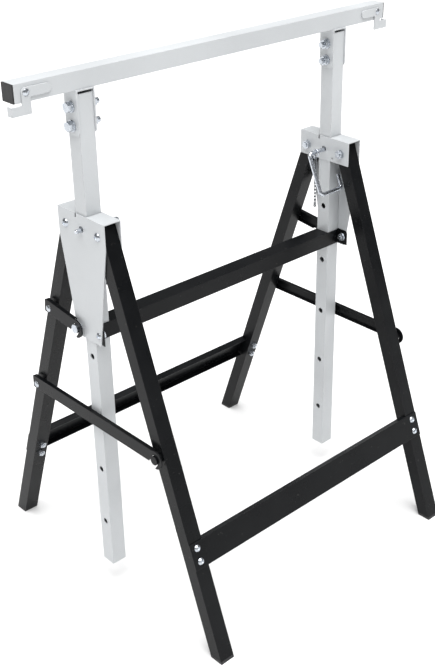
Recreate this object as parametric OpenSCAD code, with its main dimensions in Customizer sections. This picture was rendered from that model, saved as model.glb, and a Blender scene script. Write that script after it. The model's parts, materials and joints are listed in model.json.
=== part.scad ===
// Folding sawhorse with a height-adjustable beam.
// Origin: on the floor, in the middle of the four feet.
// X runs along the beam, -Y is the front, +Z is up. Millimetres.

/* [Beam and posts] */
// Overall length of the beam with its end caps
beam_length = 710; // [660:1:760]
// Outer side of the square tube of the beam and the posts
tube_side = 25; // [24:0.5:25.5]
// Wall of every tube
tube_wall = 1.5; // [1.2:0.1:2]
// Height of the beam's top face at the lowest setting
beam_top = 842; // [835:1:860]
// Distance of each post from the middle of the beam
post_x = 247; // [230:1:260]
// Height of the posts' lower ends at the lowest setting
post_bottom = 37; // [30:1:60]
// Diameter of the adjusting holes
adjust_hole = 9.5; // [9:0.1:10.5]
// Distance between adjusting holes
adjust_pitch = 100; // [98:1:101]
// Number of adjusting holes in each post
adjust_count = 6; // [4:1:6]

/* [Legs] */
// Side of the leg tube along the beam
leg_width = 25; // [24:0.5:25.5]
// Side of the leg tube across the beam
leg_depth = 22; // [20:0.5:23]
// Height of the leg pivots
pivot_z = 618; // [614:1:622]
// Distance of each leg pivot from the middle
pivot_y = 37; // [36:0.5:38]
// Distance of each foot's centre from the middle
foot_y = 259; // [240:1:275]
// Thickness of the plastic foot under the tube
foot_sole = 4; // [3:0.5:6]

/* [Housings] */
// Space between the two plates of a housing
housing_gap = 26; // [26:0.1:26.6]
// Sheet thickness of the housings
sheet = 1.5; // [1.2:0.1:1.6]
// Height of the top of the housings
housing_top = 640; // [640:0.5:642]
// Height at which the short inner plates end and the long outer plates start to narrow
skirt_z = 600; // [598:1:602]
// Height of the lower end of the outer plates
plate_bottom = 444; // [440:1:447]
// Depth of the housings across the beam
housing_depth = 107; // [105:1:110]
// Depth of the outer plates at their lower end
plate_foot = 55; // [53:1:60]

/* [Crossbars] */
// Distance from the leg pivots down the leg to the top of the lower crossbars
crossbar_drop = 464.5; // [440:0.5:480]
// Height of the lower crossbars' section
crossbar_height = 41.5; // [38:0.5:44]
// Depth of the lower crossbars' flanges
crossbar_flange = 12; // [8:0.5:13]
// Height of the upper crossbar's lower edge
upper_bar_z = 446; // [445:0.5:447]
// Height of the upper crossbar's section
upper_bar_height = 24.5; // [23:0.5:26]

/* [Straps and pins] */
// Height of the lower straps
lower_strap_z = 310; // [300:1:320]
// Height of the upper straps' rivets
upper_strap_z = 465; // [463:1:467]
// Across and up position of the upper straps' studs
upper_stud = [23.5, 457]; // [18:0.5:24.5]
// Diameter of the strap studs
stud_d = 14; // [12:0.5:14]
// Diameter of the lock pins
pin_d = 6.5; // [6:0.5:8]
// Height of the lock pins
pin_z = 617.4; // [616:0.2:618]
// Length of the lock pins' hanging arm
pin_arm = 70; // [60:1:70]
// Forward lean of the lock pins' hanging arm
pin_lean = 23.8; // [22:0.1:24]
// Length of one chain link from joint to joint
link_pitch = 6; // [5.5:0.1:7]

/* [Hidden] */

$fn = 48;
silver = "#c6c9ce";
black = "#2a2c2f";
zinc = "#dde3ea";
plastic = "#17181a";
LEFT = -1;
RIGHT = 1;
FRONT = -1;
BACK = 1;

beam_z = beam_top - tube_side;
cap_head = 2;
tube_half = beam_length / 2 - cap_head;
tube_bore = tube_side - 2 * tube_wall;
lean = atan((foot_y - pivot_y) / pivot_z);
leg_above = 14;
leg_long = pivot_z / cos(lean) + 20;

// Saddle brackets and their bolts
saddle_sheet = 2;
saddle_gap = 0.1;
saddle_depth = 29;
saddle_low = beam_z - 62;
saddle_bolt_z = [beam_z - 24, beam_z - 50];
post_top = beam_z - saddle_sheet - 4;
saddle_face = tube_side / 2 + saddle_gap + saddle_sheet;

// Housing planes, as distances from a post's centre line
plate_in = housing_gap / 2;
plate_out = plate_in + sheet;
half_depth = housing_depth / 2;

// Clearances and fastener sizes
running = 0.05;
m8 = 4;
m6 = 3;
crossbar_bolt_drops = [crossbar_drop + 10, crossbar_drop + 31];
strap_drops = [(pivot_z - upper_strap_z) / cos(lean), (pivot_z - lower_strap_z) / cos(lean)];
bar_half = 14;
bar_sheet = 1.2;
tab_reach = 34;
tab_bolt = [-23.5, upper_bar_z + 13.5];
chain_hole = [18.7, 606];

// Straps: distances from a post's centre line to the flange edge and the web's faces
strap_edge = plate_out + 0.5;
strap_in = strap_edge + 4.5;
strap_out = strap_in + 2;
stud_out = strap_out + 2.5;
strap_above = 13.5;
strap_below = 7.5;
notch_r = stud_d / 2 + 0.75;
lower_rivet_y = pivot_y + (pivot_z - lower_strap_z) * tan(lean);
upper_rivet_y = pivot_y + (pivot_z - upper_strap_z) * tan(lean);

// The post hangs on its pins and the pins lie in the housing's holes, with a little air drawn
pin_slack = (adjust_hole - pin_d) / 2 - 0.3;
post_hole_z = pin_z - pin_slack;
housing_hole_z = pin_z + pin_slack;

// Lock pins, as distances from the middle of the beam
pin_tip = post_x + plate_out + 10;
pin_bend = post_x - 50;
hook_x = post_x + 1;
hook_up = 24;
bend_r = 5.5;
ring_x = post_x - 34;
ring_r = 6;
ring_wire = 0.9;
ring_z = pin_z - (ring_r - ring_wire - pin_d / 2) + 0.05;

// Chain: a hanging curve between the pin's ring and the anchor ring
link_wire = 1.2;
link_play = 0.45;
link_width = 3;
chain_low = 516;
chain_tight = 3.7;
anchor_r = 4.5;
anchor_z = chain_hole[1] - anchor_r - 0.75;
anchor_x = post_x - plate_in - sheet / 2;
chain_from = [ring_x, 0, ring_z - ring_r + ring_wire + link_play / 2];
chain_to = [anchor_x, chain_hole[0], anchor_z - anchor_r + ring_wire + link_play / 2];
function asinh(v) = ln(v + sqrt(v * v + 1));
function arm_length(top) = sqrt(pow(top - chain_low + chain_tight, 2) - pow(chain_tight, 2));
function across(s) = chain_tight * asinh(s / chain_tight);
chain_s0 = -arm_length(chain_from[2]);
chain_s1 = arm_length(chain_to[2]);
link_count = 2 * round((chain_s1 - chain_s0) / link_pitch / 2);
link_step = (chain_s1 - chain_s0) / link_count;
function share(s) = (across(s) - across(chain_s0)) / (across(chain_s1) - across(chain_s0));
function chain_point(s) = [
    chain_from[0] + (chain_to[0] - chain_from[0]) * share(s),
    chain_from[1] + (chain_to[1] - chain_from[1]) * share(s),
    chain_low - chain_tight + sqrt(chain_tight * chain_tight + s * s)
];

// ---- helpers ------------------------------------------------------------

// Everything is drawn for the right side; the left side is its mirror image.
module on_side(side) {
    if (side == RIGHT) children();
    else mirror([1, 0, 0]) children();
}

module box(x, y, z) {
    translate([x[0], y[0], z[0]]) cube([x[1] - x[0], y[1] - y[0], z[1] - z[0]]);
}

// A cylinder along X from x0 to x1
module rod_x(x0, x1, r, sides = 48) {
    translate([x0, 0, 0]) rotate([0, 90, 0]) cylinder(h = x1 - x0, r = r, $fn = sides);
}

// A low domed head standing on z = 0
module dome(r, h) {
    ball = (r * r + h * h) / (2 * h);
    rotate_extrude()
        intersection() {
            translate([0, h - ball]) circle(r = ball, $fn = 96);
            square([r, h]);
        }
}

module dome_x(x, r, h, way) {
    translate([x, 0, 0]) rotate([0, way * 90, 0]) dome(r, h);
}

// A domed bolt head facing +X with a hexagon socket
module bolt_head_x(x, r, h) {
    difference() {
        dome_x(x, r, h, 1);
        rod_x(x + h - 1.8, x + h + 1, r * 0.42, 6);
    }
}

// A hex nut along X from x0 to x1
module nut_x(x0, x1, flats, bore) {
    difference() {
        rod_x(x0, x1, flats / sqrt(3), 6);
        rod_x(x0 - 1, x1 + 1, bore);
    }
}

module washer_x(x0, x1, r, bore) {
    difference() {
        rod_x(x0, x1, r);
        rod_x(x0 - 1, x1 + 1, bore);
    }
}

module tube_z(w, d, wall, z0, z1) {
    difference() {
        box([-w / 2, w / 2], [-d / 2, d / 2], [z0, z1]);
        box([-w / 2 + wall, w / 2 - wall], [-d / 2 + wall, d / 2 - wall], [z0 - 1, z1 + 1]);
    }
}

// The frame of a front or back leg: pivot at the origin, the leg hanging down
module leg_frame(end) {
    translate([0, end * pivot_y, pivot_z]) rotate([end * lean, 0, 0]) children();
}

module torus(r, wire) {
    rotate_extrude() translate([r, 0]) circle(r = wire, $fn = 24);
}

// ---- beam and posts -----------------------------------------------------

module beam_tube() {
    color(silver)
    difference() {
        translate([-tube_half, 0, beam_z + tube_side / 2]) rotate([0, 90, 0])
            tube_z(tube_side, tube_side, tube_wall, 0, 2 * tube_half);
        for (side = [LEFT, RIGHT])
            on_side(side) stop_axis() cylinder(h = 8, r = 2.55, center = true);
    }
}

module end_cap(side) {
    head = tube_side - 0.6;
    plug = tube_bore - 0.3;
    color(plastic)
    on_side(side) translate([tube_half, 0, beam_z + tube_side / 2]) {
        box([0, cap_head], [-head / 2, head / 2], [-head / 2, head / 2]);
        difference() {
            box([-10, 0.5], [-plug / 2, plug / 2], [-plug / 2, plug / 2]);
            box([-11, 0], [-plug / 2 + 2, plug / 2 - 2], [-plug / 2 + 2, plug / 2 - 2]);
        }
    }
}

module post(side) {
    color(silver)
    on_side(side) translate([post_x, 0, 0]) difference() {
        tube_z(tube_side, tube_side, tube_wall, post_bottom, post_top);
        for (i = [0 : adjust_count - 1])
            translate([0, 0, post_hole_z - i * adjust_pitch]) rod_x(-20, 20, adjust_hole / 2);
        for (z = saddle_bolt_z) translate([0, 0, z]) rod_x(-20, 20, m8 + 0.25);
    }
}

module saddle(side) {
    inner = tube_side / 2 + saddle_gap;
    half = saddle_depth / 2;
    corner = 6;
    color(silver)
    on_side(side) translate([post_x, 0, 0]) difference() {
        union() {
            box([-saddle_face, saddle_face], [-half, half], [beam_z - saddle_sheet, beam_z]);
            for (way = [-1, 1])
                mirror([way > 0 ? 0 : 1, 0, 0]) {
                    box([inner, saddle_face], [-half, half], [saddle_low + corner, beam_z]);
                    box([inner, saddle_face], [corner - half, half - corner], [saddle_low, beam_z - 9]);
                    for (y = [corner - half, half - corner])
                        translate([0, y, saddle_low + corner]) rod_x(inner, saddle_face, corner);
                }
        }
        for (z = saddle_bolt_z) translate([0, 0, z]) rod_x(-20, 20, m8 + 0.25);
    }
}

module saddle_bolts(side) {
    washer = 2;
    color(zinc)
    on_side(side) translate([post_x, 0, 0])
        for (z = saddle_bolt_z) translate([0, 0, z]) {
            rod_x(-saddle_face - washer - 6.5 - 6, saddle_face + washer, m8);
            rod_x(saddle_face + washer, saddle_face + washer + 7, 13 / sqrt(3), 6);
            washer_x(saddle_face, saddle_face + washer, 8, m8 + 0.2);
            washer_x(-saddle_face - washer, -saddle_face, 8, m8 + 0.2);
            nut_x(-saddle_face - washer - 6.5, -saddle_face - washer, 13, m8 + running);
        }
}

// ---- end stops ----------------------------------------------------------

stop_x = tube_half - 16;
stop_z = beam_z + 13;
stop_face = tube_side / 2 + 0.3;
stop_sheet = 2;

// Places its children on a stop's pivot, with their z axis along Y
module stop_axis() {
    translate([stop_x, -tube_side / 2, stop_z]) rotate([90, 0, 0]) children();
}

// Tail along the beam, body down past it, arm out below the beam's end with a turned-in lip
module end_stop(side) {
    half = 6.5;
    tail = 31.5;
    low = -28.5;
    arm = 23;
    color(silver)
    on_side(side) stop_axis() translate([0, 0, stop_face - tube_side / 2]) difference() {
        union() {
            linear_extrude(stop_sheet) {
                translate([-tail, -half]) square([tail, 2 * half]);
                translate([-tail, 0]) circle(r = half);
                circle(r = half);
                translate([-half, low]) square([2 * half, -low]);
                translate([0, low]) square([arm, 12.5]);
            }
            translate([arm - stop_sheet, low, -8]) cube([stop_sheet, 12.5, 8 + stop_sheet]);
        }
        translate([0, 0, -1]) cylinder(h = stop_sheet + 2, r = 2.5 + running);
    }
}

module end_stop_rivets() {
    outer = stop_face - tube_side / 2 + stop_sheet + 0.2;
    color(zinc)
    for (side = [LEFT, RIGHT])
        on_side(side) stop_axis() {
            translate([0, 0, -tube_wall]) cylinder(h = outer + tube_wall, r = 2.5);
            translate([0, 0, outer]) dome(5, 2);
            translate([0, 0, -tube_wall - 1.2]) cylinder(h = 1.2, r = 4);
        }
}

// ---- housings -----------------------------------------------------------

module housing(side) {
    hole = 13.2;
    notch = [3.4, 6.5];
    color(silver)
    on_side(side) translate([post_x, 0, 0]) difference() {
        union() {
            box([-plate_out, plate_out], [-half_depth, half_depth], [housing_top - sheet, housing_top]);
            box([-plate_out, -plate_in], [-half_depth, half_depth], [skirt_z, housing_top]);
            translate([plate_in, 0, 0]) rotate([90, 0, 90]) linear_extrude(sheet)
                polygon([
                    [-half_depth, housing_top], [-half_depth, skirt_z], [-plate_foot / 2, plate_bottom],
                    [plate_foot / 2, plate_bottom], [half_depth, skirt_z], [half_depth, housing_top]
                ]);
        }
        box([-plate_in, plate_in], [-hole, hole], [housing_top - 5, housing_top + 1]);
        box([-20, 20], [hole - notch[0], hole], [housing_top - notch[1], housing_top + 1]);
        translate([0, 0, housing_hole_z]) rod_x(-20, 20, adjust_hole / 2);
        for (y = [-pivot_y, pivot_y]) translate([0, y, pivot_z]) rod_x(-20, 20, m8 + 0.2);
        translate([0, upper_stud[0], upper_stud[1]]) rod_x(0, 20, m6);
        translate([0, tab_bolt[0], tab_bolt[1]]) rod_x(0, 20, m6 + 0.2);
        for (y = [-chain_hole[0], chain_hole[0]]) translate([0, y, chain_hole[1]]) rod_x(-20, 0, 1.8);
    }
}

module leg_pivot_bolts(side) {
    color(zinc)
    on_side(side) translate([post_x, 0, 0])
        for (y = [-pivot_y, pivot_y]) translate([0, y, pivot_z]) {
            rod_x(-plate_out - 8.5, plate_out, m8);
            bolt_head_x(plate_out, 6.5, 4);
            nut_x(-plate_out - 6.5, -plate_out, 13, m8 + running);
        }
}

module upper_strap_studs() {
    color(zinc)
    for (side = [LEFT, RIGHT])
        on_side(side) translate([post_x, upper_stud[0], upper_stud[1]]) {
            rod_x(plate_out, stud_out, stud_d / 2);
            rod_x(plate_in - bar_sheet - 1.2, plate_out, m6);
            rod_x(plate_in - bar_sheet - 1.2, plate_in - bar_sheet, 4.5);
        }
}

// An upside-down channel. Each post passes between its side walls, which end in tabs on the
// housing's outer plate: the front tab has its own bolt, the back one the upper strap's stud.
module crossbar_upper() {
    top = upper_bar_z + upper_bar_height;
    end_x = post_x + plate_in;
    inner = bar_half - bar_sheet;
    corner = 5;
    color(black)
    difference() {
        union() {
            difference() {
                box([-end_x, end_x], [-bar_half, bar_half], [upper_bar_z, top]);
                box([-end_x - 1, end_x + 1], [-inner, inner], [upper_bar_z - 1, top - bar_sheet]);
                for (side = [LEFT, RIGHT])
                    on_side(side)
                        box([post_x - inner, end_x + 1], [-inner, inner], [top - 5, top + 1]);
            }
            for (side = [LEFT, RIGHT])
                for (way = [-1, 1])
                    on_side(side) mirror([0, way > 0 ? 0 : 1, 0]) {
                        box([end_x - bar_sheet, end_x], [inner, tab_reach - corner], [upper_bar_z, top + 1]);
                        box([end_x - bar_sheet, end_x], [inner, tab_reach], [upper_bar_z, top + 1 - corner]);
                        translate([0, tab_reach - corner, top + 1 - corner])
                            rod_x(end_x - bar_sheet, end_x, corner);
                    }
        }
        for (side = [LEFT, RIGHT])
            for (hole = [tab_bolt, upper_stud])
                on_side(side) translate([post_x, hole[0], hole[1]]) rod_x(0, 20, m6 + 0.2);
    }
}

module crossbar_upper_bolts() {
    nut_face = plate_in - bar_sheet - 1.2;
    color(zinc)
    for (side = [LEFT, RIGHT])
        on_side(side) translate([post_x, tab_bolt[0], tab_bolt[1]]) {
            rod_x(nut_face - 6.5, plate_out, m6);
            bolt_head_x(plate_out, 5.5, 3);
            washer_x(nut_face, nut_face + 1.2, 7, m6 + 0.2);
            nut_x(nut_face - 5, nut_face, 10, m6 + running);
        }
}

// ---- legs ---------------------------------------------------------------

module below(z) {
    translate([-500, -500, z - 300]) cube([1000, 1000, 300]);
}

module leg(side, end) {
    color(black)
    difference() {
        leg_frame(end) on_side(side) translate([post_x, 0, 0]) difference() {
            tube_z(leg_width, leg_depth, tube_wall, -leg_long, leg_above);
            rod_x(-20, 20, m8 + running);
            for (drop = crossbar_bolt_drops)
                translate([0, 0, -drop]) rotate([90, 0, 0]) cylinder(h = 40, r = m6 + 0.2, center = true);
            if (end == BACK)
                for (drop = strap_drops) translate([0, 0, -drop]) rod_x(0, 20, m6);
            else translate([0, 0, -strap_drops[1]]) rod_x(0, 20, m8);
        }
        below(foot_sole);
    }
}

module foot(side, end) {
    insert = 0.15;
    color(plastic)
    difference() {
        leg_frame(end) on_side(side) translate([post_x, 0, 0]) union() {
            difference() {
                box([-leg_width / 2, leg_width / 2], [-leg_depth / 2, leg_depth / 2],
                    [-leg_long, leg_above - 100]);
                leg_frame_slab(end);
            }
            box([tube_wall + insert - leg_width / 2, leg_width / 2 - tube_wall - insert],
                [tube_wall + insert - leg_depth / 2, leg_depth / 2 - tube_wall - insert],
                [-leg_long, -pivot_z / cos(lean) + 26]);
        }
        below(0);
    }
}

// Everything above the sole's top, written in a leg's own frame
module leg_frame_slab(end) {
    rotate([-end * lean, 0, 0]) translate([-500, -500, foot_sole - pivot_z]) cube([1000, 1000, 900]);
}

module crossbar_lower(end) {
    low = -crossbar_drop - crossbar_height;
    face = leg_depth / 2;
    flange_x = post_x - leg_width / 2 - 1;
    web_x = post_x + leg_width / 2;
    color(black)
    leg_frame(end) mirror([0, end == FRONT ? 1 : 0, 0]) difference() {
        union() {
            box([-web_x, web_x], [face, face + sheet], [low, -crossbar_drop]);
            for (z = [low, -crossbar_drop - sheet])
                box([-flange_x, flange_x], [face + sheet - crossbar_flange, face + sheet], [z, z + sheet]);
        }
        for (side = [LEFT, RIGHT])
            for (drop = crossbar_bolt_drops)
                translate([side * post_x, 0, -drop]) rotate([90, 0, 0])
                    cylinder(h = 60, r = m6 + 0.2, center = true);
    }
}

module crossbar_lower_bolts(end) {
    face = leg_depth / 2;
    color(zinc)
    leg_frame(end) mirror([0, end == FRONT ? 1 : 0, 0])
        for (side = [LEFT, RIGHT])
            for (drop = crossbar_bolt_drops)
                translate([side * post_x, 0, -drop]) rotate([0, 0, 90]) {
                    rod_x(-face - 7, face + sheet, m6);
                    bolt_head_x(face + sheet, 5.5, 3.2);
                    nut_x(-face - 5, -face, 10, m6 + running);
                }
}

// ---- straps -------------------------------------------------------------

module lower_strap_studs() {
    color(zinc)
    leg_frame(FRONT)
        for (side = [LEFT, RIGHT])
            on_side(side) translate([post_x, 0, -strap_drops[1]]) {
                rod_x(leg_width / 2, stud_out, stud_d / 2);
                rod_x(leg_width / 2 - tube_wall, leg_width / 2, m8);
            }
}

module strap_rivets(drop) {
    color(zinc)
    leg_frame(BACK)
        for (side = [LEFT, RIGHT])
            on_side(side) translate([post_x, 0, -drop]) {
                rod_x(leg_width / 2 - tube_wall, strap_out + 0.1, m6);
                rod_x(leg_width / 2, strap_in - 0.1, 6);
                dome_x(strap_out + 0.1, 5.5, 2.4, 1);
            }
}

// A strap in its own frame: rivet at the origin, hook towards -Y, drawn as a right-hand one.
// The notch opens downwards and back towards the rivet, so lifting the strap frees the stud.
module strap(reach, notch_angle) {
    hook_r = strap_above + 1;
    back_end = 9;
    lip = 2;
    difference() {
        union() {
            translate([strap_in, 0, 0]) rotate([90, 0, 90]) linear_extrude(strap_out - strap_in) {
                translate([-reach, -strap_below]) square([reach + back_end - lip, strap_below + strap_above]);
                translate([-reach, lip - strap_below])
                    square([reach + back_end, strap_below + strap_above - 2 * lip]);
                translate([back_end - lip, strap_above - lip]) circle(r = lip, $fn = 24);
                translate([back_end - lip, lip - strap_below]) circle(r = lip, $fn = 24);
                translate([-reach, 0]) circle(r = hook_r);
            }
            box([strap_edge, strap_out], [-reach + 6, back_end - lip], [strap_above - sheet, strap_above]);
            box([strap_edge, strap_out], [-reach + 24, back_end - lip], [-strap_below, sheet - strap_below]);
        }
        rod_x(0, 60, m6 + running);
        translate([0, -reach, 0]) {
            rod_x(0, 60, notch_r);
            rotate([notch_angle, 0, 0]) box([0, 60], [-notch_r, notch_r], [-40, 0]);
        }
    }
}

module lower_strap(side) {
    color(black)
    on_side(side) translate([post_x, lower_rivet_y, lower_strap_z]) strap(2 * lower_rivet_y, 34.3);
}

module upper_strap(side) {
    run = [upper_rivet_y - upper_stud[0], upper_strap_z - upper_stud[1]];
    color(black)
    on_side(side) translate([post_x, upper_rivet_y, upper_strap_z])
        rotate([atan(run[1] / run[0]), 0, 0]) strap(norm(run), 30);
}

// ---- lock pins and chains -----------------------------------------------

// A quarter bend from +X to -Z, its corner at the origin
module bend(r) {
    translate([-bend_r, 0, -bend_r]) rotate([90, 0, 0])
        rotate_extrude(angle = 90) translate([bend_r, 0]) circle(r = r, $fn = 32);
}

// One bent rod: pin through the housing, arm hanging down, cross arm past the post, hook.
// The right-hand arm hangs in front of its post, the left-hand arm behind.
module lock_pin(side) {
    r = pin_d / 2;
    color(zinc)
    on_side(side) translate([0, 0, pin_z]) rotate([-side * pin_lean, 0, 0]) {
        rod_x(pin_bend + bend_r, pin_tip - 1.5, r);
        translate([pin_tip - 1.5, 0, 0]) rotate([0, 90, 0]) cylinder(h = 1.5, r1 = r, r2 = r - 1.2);
        translate([pin_bend, 0, 0]) mirror([1, 0, 0]) bend(r);
        translate([pin_bend, 0, bend_r - pin_arm]) cylinder(h = pin_arm - 2 * bend_r, r = r);
        translate([pin_bend, 0, -pin_arm]) mirror([1, 0, 0]) mirror([0, 0, 1]) bend(r);
        translate([0, 0, -pin_arm]) rod_x(pin_bend + bend_r, hook_x - bend_r, r);
        translate([hook_x, 0, -pin_arm]) mirror([0, 0, 1]) bend(r);
        translate([hook_x, 0, bend_r - pin_arm]) cylinder(h = hook_up - bend_r, r = r);
    }
}

module pin_ring(side) {
    color(zinc)
    on_side(side) translate([ring_x, 0, ring_z]) rotate([0, 90, 0]) torus(ring_r, ring_wire);
}

module chain_anchors() {
    color(zinc)
    for (side = [LEFT, RIGHT])
        on_side(side) translate([anchor_x, chain_hole[0], anchor_z]) rotate([90, 0, 0])
            torus(anchor_r, ring_wire);
}

module chain_link() {
    turn_r = (link_width + link_wire) / 2;
    straight = link_step + link_play - link_width;
    side_r = link_wire / 2 - 0.03;
    for (way = [0, 180])
        rotate([0, 0, way]) {
            translate([straight / 2, 0, 0]) rotate([0, 0, -90])
                rotate_extrude(angle = 180, $fn = 24) translate([turn_r, 0]) circle(r = link_wire / 2, $fn = 16);
            translate([0, turn_r, 0]) rod_x(-straight / 2 - 0.3, straight / 2 + 0.3, side_r, 16);
        }
}

module chain(side) {
    color(zinc)
    on_side(side)
        for (i = [0 : link_count - 1]) {
            p = chain_point(chain_s0 + i * link_step);
            q = chain_point(chain_s0 + (i + 1) * link_step);
            d = q - p;
            translate((p + q) / 2)
                rotate([0, -atan2(d[2], norm([d[0], d[1]])), atan2(d[1], d[0])])
                rotate([i % 2 == 0 ? 90 : 0, 0, 0]) chain_link();
        }
}

// ---- nodes --------------------------------------------------------------

beam_tube();
end_cap(LEFT);  // end_cap_left
end_cap(RIGHT);  // end_cap_right
saddle(LEFT);  // saddle_left
saddle(RIGHT);  // saddle_right
saddle_bolts(LEFT);  // saddle_bolts_left
saddle_bolts(RIGHT);  // saddle_bolts_right
post(LEFT);  // post_left
post(RIGHT);  // post_right
end_stop(LEFT);  // end_stop_left
end_stop(RIGHT);  // end_stop_right
end_stop_rivets();
housing(LEFT);  // housing_left
housing(RIGHT);  // housing_right
crossbar_upper();
crossbar_upper_bolts();
leg_pivot_bolts(LEFT);  // leg_pivot_bolts_left
leg_pivot_bolts(RIGHT);  // leg_pivot_bolts_right
upper_strap_studs();
leg(LEFT, FRONT);  // leg_front_left
leg(RIGHT, FRONT);  // leg_front_right
leg(LEFT, BACK);  // leg_back_left
leg(RIGHT, BACK);  // leg_back_right
foot(LEFT, FRONT);  // foot_front_left
foot(RIGHT, FRONT);  // foot_front_right
foot(LEFT, BACK);  // foot_back_left
foot(RIGHT, BACK);  // foot_back_right
crossbar_lower(FRONT);  // crossbar_front
crossbar_lower(BACK);  // crossbar_back
crossbar_lower_bolts(FRONT);  // crossbar_front_bolts
crossbar_lower_bolts(BACK);  // crossbar_back_bolts
lower_strap_studs();
strap_rivets(strap_drops[0]);  // upper_strap_rivets
strap_rivets(strap_drops[1]);  // lower_strap_rivets
upper_strap(LEFT);  // upper_strap_left
upper_strap(RIGHT);  // upper_strap_right
lower_strap(LEFT);  // lower_strap_left
lower_strap(RIGHT);  // lower_strap_right
lock_pin(LEFT);  // lock_pin_left
lock_pin(RIGHT);  // lock_pin_right
pin_ring(LEFT);  // pin_ring_left
pin_ring(RIGHT);  // pin_ring_right
chain(LEFT);  // chain_left
chain(RIGHT);  // chain_right
chain_anchors();
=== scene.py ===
"""A folding sawhorse on a pale floor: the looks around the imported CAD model."""

import json
import math

import bmesh
import bpy
from mathutils import Matrix, Vector


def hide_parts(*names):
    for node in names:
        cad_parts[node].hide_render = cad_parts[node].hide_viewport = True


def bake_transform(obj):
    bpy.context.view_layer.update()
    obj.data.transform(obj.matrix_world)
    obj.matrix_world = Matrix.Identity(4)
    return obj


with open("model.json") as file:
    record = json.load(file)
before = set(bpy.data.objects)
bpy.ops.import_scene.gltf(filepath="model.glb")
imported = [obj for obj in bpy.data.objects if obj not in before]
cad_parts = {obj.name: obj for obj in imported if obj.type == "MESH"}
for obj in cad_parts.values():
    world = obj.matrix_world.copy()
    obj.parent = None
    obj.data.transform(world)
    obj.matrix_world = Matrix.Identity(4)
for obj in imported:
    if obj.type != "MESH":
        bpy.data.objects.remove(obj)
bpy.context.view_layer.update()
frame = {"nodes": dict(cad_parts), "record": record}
nodes = frame["nodes"]

# ---- camera: the photograph's viewing angle ------------------------------

# Position in metres, heading and tilt, the lens in millimetres and the shift as a share of the height
CAMERA_AT = (-1.0702, -1.1870, 1.2136)
YAW = math.radians(44.381)
PITCH = math.radians(-27.063)
SENSOR = 36
LENS = 59.77297
SHIFT = (-0.068769, -0.032282)


def make_camera():
    data = bpy.data.cameras.new("camera")
    data.sensor_fit = "AUTO"
    data.sensor_width = SENSOR
    data.lens = LENS
    data.shift_x, data.shift_y = SHIFT
    data.clip_start = 0.05
    data.clip_end = 60
    cam = bpy.data.objects.new("camera", data)
    cam.location = CAMERA_AT
    cam.rotation_euler = (math.pi / 2 + PITCH, 0, -YAW)
    bpy.context.collection.objects.link(cam)
    bpy.context.scene.camera = cam


make_camera()


# ---- material building blocks --------------------------------------------


class Nodes:
    """A material under construction: n.add(type, inputs, **settings) adds a node and returns it"""

    def __init__(self, name, edge=0.0008):
        self.mat = bpy.data.materials.new(name)
        self.mat.use_nodes = True
        self.tree = self.mat.node_tree
        self.tree.nodes.clear()
        self.shader = self.add("ShaderNodeBsdfPrincipled")
        out = self.add("ShaderNodeOutputMaterial")
        self.link(self.shader.outputs["BSDF"], out.inputs["Surface"])
        self.where = self.add("ShaderNodeTexCoord").outputs["Object"]
        self.soft = self.add("ShaderNodeBevel", {"Radius": edge}, samples=4).outputs["Normal"]

    def link(self, a, b):
        self.tree.links.new(a, b)

    def set(self, node, inputs):
        """Socket values are linked, plain values are written into the input"""
        for key, value in inputs.items():
            if isinstance(value, bpy.types.NodeSocket):
                self.link(value, node.inputs[key])
            else:
                node.inputs[key].default_value = value

    def add(self, kind, inputs=None, **settings):
        node = self.tree.nodes.new(kind)
        for key, value in settings.items():
            setattr(node, key, value)
        self.set(node, inputs or {})
        return node

    def noise(self, scale, detail=3.0, rough=0.5, at=None):
        node = self.add(
            "ShaderNodeTexNoise",
            {"Vector": at or self.where, "Scale": scale, "Detail": detail, "Roughness": rough},
        )
        return node.outputs["Fac"]

    def remap(self, value, low, high, out_low=0.0, out_high=1.0):
        node = self.add(
            "ShaderNodeMapRange",
            {"Value": value, "From Min": low, "From Max": high, "To Min": out_low, "To Max": out_high},
        )
        return node.outputs["Result"]

    def math(self, op, a, b=0.0):
        return self.add("ShaderNodeMath", {0: a, 1: b}, operation=op).outputs["Value"]

    def mix(self, factor, a, b):
        node = self.add("ShaderNodeMix", data_type="RGBA")
        for socket, value in (("Factor_Float", factor), ("A_Color", a), ("B_Color", b)):
            target = next(s for s in node.inputs if s.identifier == socket)
            if isinstance(value, bpy.types.NodeSocket):
                self.link(value, target)
            else:
                target.default_value = value
        return next(s for s in node.outputs if s.identifier == "Result_Color")

    def painted_edge_highlight(self, low=0.03, high=0.22):
        """1 along edges, 0 elsewhere: where the rounded normal leaves the face's own; used to paint a
        highlight along the edges
        """
        own = self.add("ShaderNodeNewGeometry").outputs["Normal"]
        near = self.add("ShaderNodeVectorMath", {0: self.soft, 1: own}, operation="DOT_PRODUCT")
        return self.remap(near.outputs["Value"], 1 - low, 1 - high)

    def bump(self, height, strength, distance):
        """Grain over corners that catch the light as if rounded"""
        return self.add(
            "ShaderNodeBump",
            {"Height": height, "Strength": strength, "Distance": distance, "Normal": self.soft},
        ).outputs["Normal"]


def rgb(r, g, b):
    return (r, g, b, 1.0)


def grey(value):
    return rgb(value, value, value)


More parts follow.
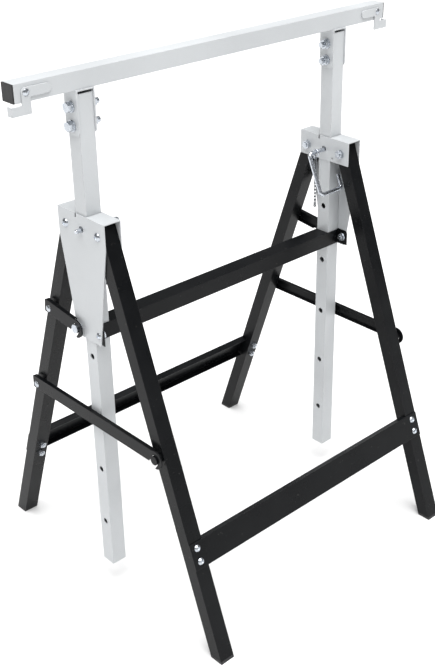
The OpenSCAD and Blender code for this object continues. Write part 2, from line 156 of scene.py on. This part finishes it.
def silver_paint():
    """Silver-grey powder coat: fine orange peel, a metallic glint, a little handling dirt, and a painted
    highlight along the edges
    """
    n = Nodes("silver_paint", 0.001)
    cloud = n.noise(9.0, 4.0)
    peel = n.noise(900.0, 2.0)
    fleck = n.noise(3200.0, 1.0)
    base = n.mix(n.remap(cloud, 0.35, 0.65), rgb(0.475, 0.492, 0.505), rgb(0.515, 0.533, 0.546))
    base = n.mix(n.remap(fleck, 0.56, 0.72, 0.0, 0.45), base, rgb(0.62, 0.63, 0.645))
    # painted highlight: a paler silver along the edges
    base = n.mix(n.painted_edge_highlight(), base, rgb(0.66, 0.675, 0.69))
    rough = n.math("ADD", n.remap(cloud, 0.3, 0.7, 0.33, 0.43), n.remap(fleck, 0.4, 0.7, 0.0, 0.06))
    n.set(n.shader, {
        "Base Color": base, "Metallic": 0.08, "Roughness": rough, "Specular IOR Level": 0.4,
        "Normal": n.bump(peel, 0.12, 0.0004),
    })
    return n.mat


def black_paint(name, rough=0.28, level=1.0):
    """Black powder coat: orange peel, semi-gloss, paler along the edges as a painted highlight"""
    n = Nodes(name)
    cloud = n.noise(14.0, 4.0)
    peel = n.noise(750.0, 2.0)
    # level below 1 darkens the whole paint: painted shade
    dark = [level * c for c in (0.0030, 0.0034, 0.0040)]
    pale = [level * c for c in (0.0055, 0.0060, 0.0067)]
    base = n.mix(n.remap(cloud, 0.35, 0.65), rgb(*dark), rgb(*pale))
    # painted highlight: a paler grey along the edges
    base = n.mix(n.math("MULTIPLY", n.painted_edge_highlight(), 0.6), base, rgb(0.045, 0.045, 0.048))
    spots = n.remap(n.noise(160.0, 3.0), 0.68, 0.74)
    base = n.mix(n.math("MULTIPLY", spots, 0.35), base, rgb(0.06, 0.058, 0.055))
    n.set(n.shader, {
        "Base Color": base, "Roughness": n.remap(cloud, 0.3, 0.7, rough - 0.04, rough + 0.06),
        "Specular IOR Level": 0.12,
        "Normal": n.bump(peel, 0.15, 0.0004),
    })
    return n.mat


def zinc(name, dull, bright, rough):
    """Zinc plate: bright blue-white with soft spangle and paler corners painted on as a highlight"""
    n = Nodes(name, 0.0004)
    cells = n.add(
        "ShaderNodeTexVoronoi", {"Vector": n.where, "Scale": 420.0, "Randomness": 1.0}
    ).outputs["Color"]
    shade = n.add("ShaderNodeSeparateColor", {"Color": cells}).outputs["Red"]
    brush = n.noise(1400.0, 2.0)
    base = n.mix(n.remap(shade, 0.0, 1.0, 0.0, 0.6), rgb(*dull), rgb(*bright))
    # painted highlight: a paler blue-white along the edges
    base = n.mix(n.painted_edge_highlight(), base, rgb(0.80, 0.82, 0.85))
    n.set(n.shader, {
        "Base Color": base, "Metallic": 0.95, "Roughness": n.remap(shade, 0.0, 1.0, rough, rough + 0.12),
        "Normal": n.bump(brush, 0.1, 0.0002),
    })
    return n.mat


def plastic():
    """Matt black moulded plastic with a fine grain and a painted highlight along the edges"""
    n = Nodes("black_plastic")
    grain = n.noise(1500.0, 3.0)
    cloud = n.noise(30.0, 3.0)
    base = n.mix(n.remap(cloud, 0.35, 0.65), rgb(0.007, 0.007, 0.008), rgb(0.013, 0.013, 0.014))
    # painted highlight: a paler grey along the edges
    base = n.mix(n.painted_edge_highlight(), base, rgb(0.035, 0.035, 0.037))
    n.set(n.shader, {
        "Base Color": base, "Roughness": n.remap(grain, 0.3, 0.7, 0.5, 0.66),
        "Normal": n.bump(grain, 0.3, 0.0003),
    })
    return n.mat


MATERIALS = {
    "silver_paint": silver_paint(),
    "black_paint": black_paint("black_paint"),
    # black_stud is the leg's black paint at 0.7 of its brightness: painted shade on the stud inside the
    # strap's hook
    "black_stud": black_paint("black_stud", 0.3, 0.7),
    "black_plastic": plastic(),
    "zinc": zinc("zinc", (0.42, 0.45, 0.49), (0.62, 0.65, 0.69), 0.2),
    "bright_steel": zinc("bright_steel", (0.50, 0.53, 0.58), (0.70, 0.73, 0.78), 0.2),
    "chain_steel": zinc("chain_steel", (0.16, 0.17, 0.18), (0.30, 0.31, 0.33), 0.3),
}

slot_of = {row["node"]: row["material_slot"] for row in frame["record"]["subparts"]}
for name, obj in nodes.items():
    material = MATERIALS[slot_of[name]]
    for part in obj.material_slots:
        part.material = material
    if not obj.material_slots:
        obj.data.materials.append(material)

# ---- keeper chains: closed wire links hung along the CAD chain's curve -----

WIRE = 0.00062
LINK_HALF_WIDTH = 0.0021
RING_END = Vector((0.213, 0, 0.61073))
PLATE_END = Vector((0.23325, 0.0187, 0.59738))
# The catenary's lowest point, its tightness, the links' spacing and the play between two of them
CHAIN_LOW = 0.516
CHAIN_TIGHT = 0.0037
LINK_STEP = 0.006
LINK_PLAY = 0.00045
# Steps round each end of a link, and round the wire
END_STEPS = 8
WIRE_SIDES = 10


def chain_points():
    """Where neighbouring links meet, from the pin's ring down and up to the housing"""
    def strand(top):
        return math.sqrt((top - CHAIN_LOW + CHAIN_TIGHT) ** 2 - CHAIN_TIGHT ** 2)

    s0, s1 = -strand(RING_END.z), strand(PLATE_END.z)
    count = 2 * round((s1 - s0) / LINK_STEP / 2)
    a0, a1 = math.asinh(s0 / CHAIN_TIGHT), math.asinh(s1 / CHAIN_TIGHT)
    points = []
    for i in range(count + 1):
        s = s0 + (s1 - s0) * i / count
        p = RING_END.lerp(PLATE_END, (math.asinh(s / CHAIN_TIGHT) - a0) / (a1 - a0))
        p.z = CHAIN_LOW - CHAIN_TIGHT + math.hypot(CHAIN_TIGHT, s)
        points.append(p)
    return points


def wire_link(bm, p, q, odd):
    """An oval of wire from p to q; every second one is turned on its side"""
    along = (q - p).normalized()
    flat = along.cross(Vector((0, 0, 1))) if abs(along.z) < 0.9 else along.cross(Vector((0, 1, 0)))
    flat.normalize()
    side = flat if odd else along.cross(flat)
    up = along.cross(side)
    straight = max((q - p).length + LINK_PLAY - 2 * (LINK_HALF_WIDTH - WIRE), 0.0004) / 2
    centre = (p + q) / 2
    path = []
    for end in (1, -1):
        for k in range(END_STEPS + 1):
            a = math.radians(-90 + 180 * k / END_STEPS)
            u = straight + LINK_HALF_WIDTH * math.cos(a)
            path.append((end * u, end * LINK_HALF_WIDTH * math.sin(a)))
    rings = []
    for k, (u, v) in enumerate(path):
        after, before = path[(k + 1) % len(path)], path[k - 1]
        t = Vector((after[0] - before[0], after[1] - before[1])).normalized()
        out = along * t.y - side * t.x
        at = centre + along * u + side * v
        rings.append([
            bm.verts.new(at + WIRE * (out * math.cos(b) + up * math.sin(b)))
            for b in (math.tau * j / WIRE_SIDES for j in range(WIRE_SIDES))
        ])
    for k, ring in enumerate(rings):
        other = rings[(k + 1) % len(rings)]
        for j in range(WIRE_SIDES):
            bm.faces.new((ring[j - 1], ring[j], other[j], other[j - 1])).smooth = True


def hang_chain(name, side):
    """One chain as a single piece: fixed at the housing, its other end hung at the pin's ring"""
    points = chain_points()
    bm = bmesh.new()
    for i, (p, q) in enumerate(zip(points, points[1:])):
        wire_link(bm, p, q, i % 2)
    if side < 0:
        bmesh.ops.transform(bm, matrix=Matrix.Scale(-1, 4, (1, 0, 0)), verts=bm.verts)
    bmesh.ops.recalc_face_normals(bm, faces=bm.faces)
    mesh = bpy.data.meshes.new(name)
    bm.to_mesh(mesh)
    bm.free()
    mesh.materials.append(MATERIALS["chain_steel"])
    chain = bpy.data.objects.new(name, mesh)
    bpy.context.collection.objects.link(chain)
    word = "left" if side < 0 else "right"
    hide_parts("chain_" + word)
    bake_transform(chain)


hang_chain("links_left", -1)
hang_chain("links_right", 1)

# ---- floor and light ------------------------------------------------------


def make_floor():
    mesh = bpy.data.meshes.new("floor")
    half = 14
    corners = [(-half, -half, 0), (half, -half, 0), (half, half, 0), (-half, half, 0)]
    mesh.from_pydata(corners, [], [(0, 1, 2, 3)])
    floor = bpy.data.objects.new("floor", mesh)
    bpy.context.collection.objects.link(floor)
    n = Nodes("floor")
    cloud = n.noise(0.8, 3.0)
    n.set(n.shader, {
        "Base Color": n.mix(n.remap(cloud, 0.3, 0.7), grey(0.69), grey(0.71)),
        "Roughness": 0.75, "Specular IOR Level": 0.2,
    })
    mesh.materials.append(n.mat)


def area_light(name, at, target, size, power):
    data = bpy.data.lights.new(name, "AREA")
    data.shape = "RECTANGLE"
    data.size, data.size_y = size
    data.energy = power
    lamp = bpy.data.objects.new(name, data)
    lamp.location = at
    lamp.rotation_euler = (Vector(target) - Vector(at)).to_track_quat("-Z", "Y").to_euler()
    bpy.context.collection.objects.link(lamp)


def make_world(strength):
    world = bpy.data.worlds.new("studio")
    world.use_nodes = True
    background = world.node_tree.nodes["Background"]
    background.inputs["Color"].default_value = (1, 1, 1, 1)
    background.inputs["Strength"].default_value = strength
    bpy.context.scene.world = world


def sun_light(name, direction, strength, angle):
    data = bpy.data.lights.new(name, "SUN")
    data.energy = strength
    data.angle = math.radians(angle)
    lamp = bpy.data.objects.new(name, data)
    lamp.rotation_euler = Vector(direction).to_track_quat("-Z", "Y").to_euler()
    bpy.context.collection.objects.link(lamp)


make_floor()
make_world(0.2)
sun_light("top", (0.12, 0.18, -1.0), 6.4, 70)
area_light("left_back", (-2.6, 1.6, 0.7), (0, 0, 0.45), (1.6, 1.0), 2)
bpy.context.scene.view_settings.view_transform = "Standard"
